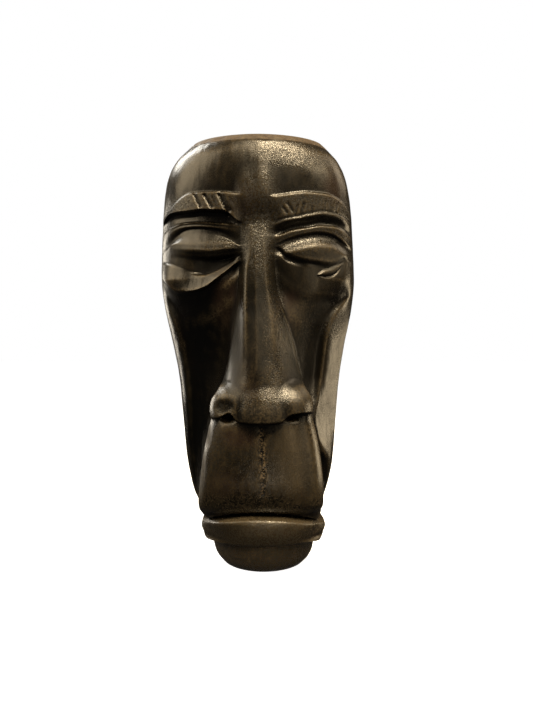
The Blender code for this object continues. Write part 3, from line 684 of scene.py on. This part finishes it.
# Hand work: broad flats left by the gouge, a finer unevenness where the wood was only scraped, and the
# uneven chamfer that was cut along the rim of the sawn top.
GOUGE_FLATS = 0.26
SCRAPED = 0.11
SPECKLED = 0.07
SAW_CUTS = 0.6
normals = outward(sides)
away_from_ends = ramp(0.0, 2.0, sides[:, :, 2]) * (1 - ramp(298.0, 300.0, sides[:, :, 2]))
rough = patched(sides, ROUGH_PATCHES)
flats = GOUGE_FLATS * grained(sides, 17.0, 1, 1.6) + SCRAPED * grained(sides, 4.2, 2, 1.8)
flats = flats + SPECKLED * rough * grained(sides, 1.5, 3)
sawn_rim = ramp(292, 295, sides[:, :, 2]) * (1 - ramp(299, 300, sides[:, :, 2]))
flats = flats + SAW_CUTS * sawn_rim * grained(sides, 6.0, 4)
sides = sides + normals * (flats * away_from_ends)[:, :, None]
points = np.array(sawn_end(sides[0])[::-1] + list(sides) + sawn_end(sides[-1]))

# Where an edge stands proud the wood is rubbed bright, and where it lies in a hollow painted shade darkens
# it.
WORN_EDGE = 0.22
DARK_HOLLOW = 1.6
normals = outward(points)
edge_height = ((points - averaged(points, 6)) * normals).sum(axis=2)
form_height = ((points - averaged(points, 60)) * normals).sum(axis=2)
flat_end = np.zeros((len(points), 1))
flat_end[: len(END_RINGS)] = 1
flat_end[-len(END_RINGS):] = 1
on_face = (1 - flat_end) * (1 - ramp(-10, -1, points[:, :, 1]))
edge_wear = np.clip(edge_height / WORN_EDGE, 0, 1) * on_face
hollow = np.clip(-form_height / DARK_HOLLOW, 0, 1) * on_face
MASKS = {
    "edge_wear": edge_wear,
    "hollow": hollow,
    "rough_wood": patched(points, ROUGH_PATCHES) * (1 - flat_end),
    "black_polish_and_shade": patched(points, BLACK_AND_SHADE_PATCHES) * (1 - flat_end),
    "dull_wood": patched(points, DULL_PATCHES) * (1 - flat_end),
    "rubbed_and_lit": patched(points, RUBBED_AND_LIT_PATCHES) * (1 - flat_end),
    "scuffed": patched(points, SCUFFED_PATCHES) * (1 - flat_end),
    "red_wood": patched(points, RED_PATCHES) * (1 - flat_end),
    "sawn_wood": np.maximum(flat_end, ramp(293.6, 294.4, points[:, :, 2])),
}

row_count, column_count, _ = points.shape
low_corner, high_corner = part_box("carved_head")
sheet_size = Vector((140.0, 128.8, 300.0))
unit = [(high_corner[k] - low_corner[k]) / sheet_size[k] for k in range(3)]

bpy.ops.object.select_all(action="DESELECT")
bpy.ops.mesh.primitive_grid_add(x_subdivisions=column_count, y_subdivisions=row_count - 1, size=1)
head = bpy.context.object
head.name = "head_of_dark_wood"


def around(values):
    """The values at the columns, with the first column once more where the sheet closes."""
    return np.concatenate([values, values[:, :1]], axis=1)


head.data.vertices.foreach_set("co", (around(points) * unit).astype(np.float32).ravel())
for name, mask in MASKS.items():
    layer = head.data.attributes.new(name, "FLOAT", "POINT")
    layer.data.foreach_set("value", around(mask).astype(np.float32).ravel())
bpy.ops.object.mode_set(mode="EDIT")
bpy.ops.mesh.select_all(action="SELECT")
bpy.ops.mesh.remove_doubles(threshold=0.000002)
bpy.ops.mesh.select_all(action="DESELECT")
bpy.ops.mesh.select_non_manifold()
bpy.ops.mesh.edge_face_add()
bpy.ops.mesh.select_all(action="SELECT")
bpy.ops.mesh.normals_make_consistent(inside=False)
bpy.ops.object.mode_set(mode="OBJECT")
bpy.ops.object.shade_smooth_by_angle(angle=math.radians(60))

# The finish: near-black wood with a vertical grain, redder where the stain is thin, rubbed to a satin gloss,
# with fine open pores and scraped places that catch the light as specks.
NEAR_BLACK = (0.0022, 0.0018, 0.0013, 1)
DARK_BROWN = (0.0067, 0.0054, 0.0032, 1)
RED_BROWN = (0.024, 0.012, 0.008, 1)
RUBBED_BROWN = (0.056, 0.044, 0.027, 1)
PALE_SCUFF = (0.15, 0.115, 0.075, 1)
SAWN_BROWN = (0.060, 0.040, 0.022, 1)
POLISH_AND_SHADE_BLACK = (0.0008, 0.0009, 0.0008, 1)
SPECK_SIZE = 0.0012

wood = bpy.data.materials.new("rubbed_dark_wood")
wood.use_nodes = True
wood_nodes = wood.node_tree.nodes
wood_links = wood.node_tree.links
shader = wood_nodes["Principled BSDF"]
place = wood_nodes.new("ShaderNodeTexCoord").outputs["Object"]


def noise_at(scale, detail, roughness, stretch):
    """Noise on the piece's own coordinates, drawn out along the grain by the stretch."""
    along_grain = wood_nodes.new("ShaderNodeMapping")
    along_grain.inputs["Scale"].default_value = (1, 1, 1 / stretch)
    wood_links.new(place, along_grain.inputs["Vector"])
    pattern = wood_nodes.new("ShaderNodeTexNoise")
    pattern.inputs["Scale"].default_value = scale
    pattern.inputs["Detail"].default_value = detail
    pattern.inputs["Roughness"].default_value = roughness
    wood_links.new(along_grain.outputs["Vector"], pattern.inputs["Vector"])
    return pattern.outputs["Fac"]


def between(value, low, high, to_low=0.0, to_high=1.0):
    """The value, spread from one range to another and kept inside it."""
    spread = wood_nodes.new("ShaderNodeMapRange")
    for name, number in (("From Min", low), ("From Max", high), ("To Min", to_low), ("To Max", to_high)):
        spread.inputs[name].default_value = number
    wood_links.new(value, spread.inputs["Value"])
    return spread.outputs["Result"]


def times(first, second):
    """The product of two values, of which the second may be a plain number."""
    product = wood_nodes.new("ShaderNodeMath")
    product.operation = "MULTIPLY"
    wood_links.new(first, product.inputs[0])
    if isinstance(second, float):
        product.inputs[1].default_value = second
    else:
        wood_links.new(second, product.inputs[1])
    return product.outputs["Value"]


def plus(first, second):
    """The sum of two values."""
    total = wood_nodes.new("ShaderNodeMath")
    total.operation = "ADD"
    wood_links.new(first, total.inputs[0])
    wood_links.new(second, total.inputs[1])
    return total.outputs["Value"]


def painted(under, over, mask):
    """One colour laid over another where the mask says."""
    mix = wood_nodes.new("ShaderNodeMix")
    mix.data_type = "RGBA"
    wood_links.new(mask, mix.inputs["Factor"])
    for socket, colour in ((mix.inputs[6], under), (mix.inputs[7], over)):
        if isinstance(colour, tuple):
            socket.default_value = colour
        else:
            wood_links.new(colour, socket)
    return mix.outputs[2]


def carved_mask(name):
    """One of the masks that are kept on the mesh."""
    mask = wood_nodes.new("ShaderNodeAttribute")
    mask.attribute_name = name
    return mask.outputs["Fac"]


def mixed(first, second, mask):
    """The first value, changed to the second where the mask says."""
    mix = wood_nodes.new("ShaderNodeMix")
    mix.data_type = "FLOAT"
    wood_links.new(mask, mix.inputs["Factor"])
    for socket, value in ((mix.inputs[2], first), (mix.inputs[3], second)):
        if isinstance(value, float):
            socket.default_value = value
        else:
            wood_links.new(value, socket)
    return mix.outputs[0]


grain = noise_at(420, 3, 0.6, 9)
cloud = noise_at(26, 3, 0.55, 1.6)
stain = noise_at(17, 4, 0.6, 2.2)
speck = noise_at(1 / SPECK_SIZE, 1, 0.5, 1.2)
fine_speck = noise_at(2.4 / SPECK_SIZE, 1, 0.5, 1.0)
rough_wood = carved_mask("rough_wood")
black_polish_and_shade = carved_mask("black_polish_and_shade")
rubbed_and_lit = carved_mask("rubbed_and_lit")
proud_speck = between(speck, 0.50, 0.66)

colour = painted(NEAR_BLACK, DARK_BROWN, between(plus(times(grain, 0.5), times(cloud, 0.9)), 0.45, 0.95))
colour = painted(colour, RED_BROWN, between(stain, 0.60, 0.74, 0.0, 0.6))
colour = painted(colour, RED_BROWN, times(carved_mask("red_wood"), between(cloud, 0.35, 0.60, 0.2, 0.9)))
colour = painted(colour, SAWN_BROWN, times(carved_mask("sawn_wood"), between(grain, 0.35, 0.65, 0.2, 1.0)))
# Near-black polish, which also paints shade on the foot of the muzzle, beside the nose and on the right inner
# cheek.
colour = painted(colour, POLISH_AND_SHADE_BLACK, black_polish_and_shade)
colour = painted(colour, RUBBED_BROWN, times(carved_mask("edge_wear"), between(speck, 0.30, 0.62, 0.1, 0.9)))
colour = painted(colour, RUBBED_BROWN, times(times(rough_wood, proud_speck), 0.4))
# Painted shade: the hollows of the face are darkened towards near-black.
colour = painted(colour, NEAR_BLACK, times(carved_mask("hollow"), 0.85))
# Rubbed lighter wood, which on the chin is also painted light from below.
colour = painted(colour, RUBBED_BROWN, times(rubbed_and_lit, between(fine_speck, 0.30, 0.70, 0.3, 0.95)))
colour = painted(colour, PALE_SCUFF, times(carved_mask("scuffed"), between(speck, 0.50, 0.60)))
wood_links.new(colour, shader.inputs["Base Color"])
gloss = between(plus(times(cloud, 0.6), times(fine_speck, 0.4)), 0.35, 0.65, 0.22, 0.36)
gloss = mixed(gloss, between(speck, 0.36, 0.56, 0.70, 0.15), times(rough_wood, 0.85))
gloss = mixed(gloss, 0.17, black_polish_and_shade)
gloss = mixed(gloss, 0.80, carved_mask("dull_wood"))
gloss = mixed(gloss, 0.60, carved_mask("sawn_wood"))
wood_links.new(gloss, shader.inputs["Roughness"])
pores = wood_nodes.new("ShaderNodeBump")
pores.inputs["Strength"].default_value = 1.0
pores.inputs["Distance"].default_value = 0.0003
proud = times(proud_speck, mixed(0.02, 0.16, rough_wood))
relief = plus(proud, times(fine_speck, mixed(0.15, 0.75, rough_wood)))
wood_links.new(plus(relief, times(grain, 0.4)), pores.inputs["Height"])
wood_links.new(pores.outputs["Normal"], shader.inputs["Normal"])
head.data.materials.append(wood)
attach(head, "root")
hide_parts("carved_head")


# The floor: a pale matt table top under the head, evenly lit from behind like a light table, so that the
# ground stays pale right up to the horizon. It throws no light back on the wood: a small lamp does that.
FLOOR_GLOW = 1.0

bpy.ops.object.select_all(action="DESELECT")
bpy.ops.mesh.primitive_plane_add(size=30, location=(0, 0, 0))
floor = bpy.context.object
floor.name = "pale_floor"
floor.visible_diffuse = False
floor.visible_glossy = False
paint = bpy.data.materials.new("pale_floor_paint")
paint.use_nodes = True
floor_shader = paint.node_tree.nodes["Principled BSDF"]
floor_shader.inputs["Base Color"].default_value = (0.85, 0.85, 0.84, 1)
floor_shader.inputs["Roughness"].default_value = 0.9
floor_shader.inputs["Specular IOR Level"].default_value = 0.0
floor_shader.inputs["Emission Color"].default_value = (1, 1, 1, 1)
floor_shader.inputs["Emission Strength"].default_value = FLOOR_GLOW
floor.data.materials.append(paint)


# The light: ten soft warm lamps in front, above, beside and a little behind the head, and a faint one that
# stands for what the table throws back at the chin, in a dim room that the camera sees as white.
def soft_lamp(name, place, aim, size, power, colour):
    """A square area lamp at a place, turned towards another."""
    lamp = bpy.data.lights.new(name, "AREA")
    lamp.shape = "SQUARE"
    lamp.size = size
    lamp.energy = power
    lamp.color = colour
    holder = bpy.data.objects.new(name, lamp)
    bpy.context.scene.collection.objects.link(holder)
    holder.location = place
    holder.rotation_euler = (Vector(aim) - Vector(place)).to_track_quat("-Z", "Y").to_euler()
    return holder


HEAD_MIDDLE = (0, 0, 0.15)
CHIN = (0, -0.04, 0.010)
WARM = (1.0, 0.79, 0.50)
LAMPS = [
    ("overhead_right_lamp", (0.28, -0.475, 1.10), 0.32, 26, WARM),
    ("overhead_lamp", (0.00, -0.55, 1.10), 0.45, 3, WARM),
    ("left_front_lamp", (-0.84, -0.26, 0.80), 0.80, 8.5, (1.0, 0.80, 0.52)),
    ("right_front_lamp", (0.76, -0.36, 0.86), 0.45, 4, WARM),
    ("front_lamp", (0.33, -0.90, 0.70), 0.45, 0.6, WARM),
    ("right_lamp", (1.02, 0.36, 0.10), 0.36, 2.5, WARM),
    ("low_right_lamp", (0.74, -0.82, 0.15), 0.45, 0.8, WARM),
    ("right_back_lamp", (0.80, 0.42, 0.78), 0.45, 1.5, (1.0, 0.80, 0.55)),
    ("left_lamp", (-0.90, 0.62, 0.24), 0.45, 5, (1.0, 0.90, 0.75)),
    ("left_window", (-0.64, 0.45, 0.93), 0.45, 7.5, (1.0, 0.95, 0.85)),
]
for name, lamp_place, size, power, lamp_colour in LAMPS:
    soft_lamp(name, lamp_place, HEAD_MIDDLE, size, power, lamp_colour)
bounce = soft_lamp("table_bounce", (0.02, -0.24, 0.03), CHIN, 0.05, 0.007, (1.0, 0.85, 0.62))
bounce.data.spread = math.radians(40)

room = bpy.data.worlds.new("pale_room")
bpy.context.scene.world = room
room.use_nodes = True
room_nodes = room.node_tree.nodes
room_links = room.node_tree.links
dim_wall = room_nodes["Background"]
dim_wall.inputs["Color"].default_value = (1.0, 0.92, 0.82, 1)
dim_wall.inputs["Strength"].default_value = 0.03
white_wall = room_nodes.new("ShaderNodeBackground")
white_wall.inputs["Color"].default_value = (1, 1, 1, 1)
seen_rays = room_nodes.new("ShaderNodeLightPath")
wall = room_nodes.new("ShaderNodeMixShader")
room_links.new(seen_rays.outputs["Is Camera Ray"], wall.inputs["Fac"])
room_links.new(dim_wall.outputs["Background"], wall.inputs[1])
room_links.new(white_wall.outputs["Background"], wall.inputs[2])
room_links.new(wall.outputs["Shader"], room_nodes["World Output"].inputs["Surface"])


# The camera stands where the photograph was taken: level with the middle of the head and half a metre in
# front of it, close enough for the top's rim and the base's edge to arch as they do in the photograph.
CAMERA_PLACE = (0.002, -0.513, 0.1476)
FOCAL_PIXELS = 700
FRAME_PIXELS = 711

camera_data = bpy.data.cameras.new("front_camera")
camera = bpy.data.objects.new("front_camera", camera_data)
bpy.context.scene.collection.objects.link(camera)
camera.location = CAMERA_PLACE
camera.rotation_euler = (math.radians(90), 0, 0)
camera_data.sensor_width = 36
camera_data.lens = camera_data.sensor_width * FOCAL_PIXELS / FRAME_PIXELS
bpy.context.scene.camera = camera
bpy.context.scene.view_settings.view_transform = "Standard"
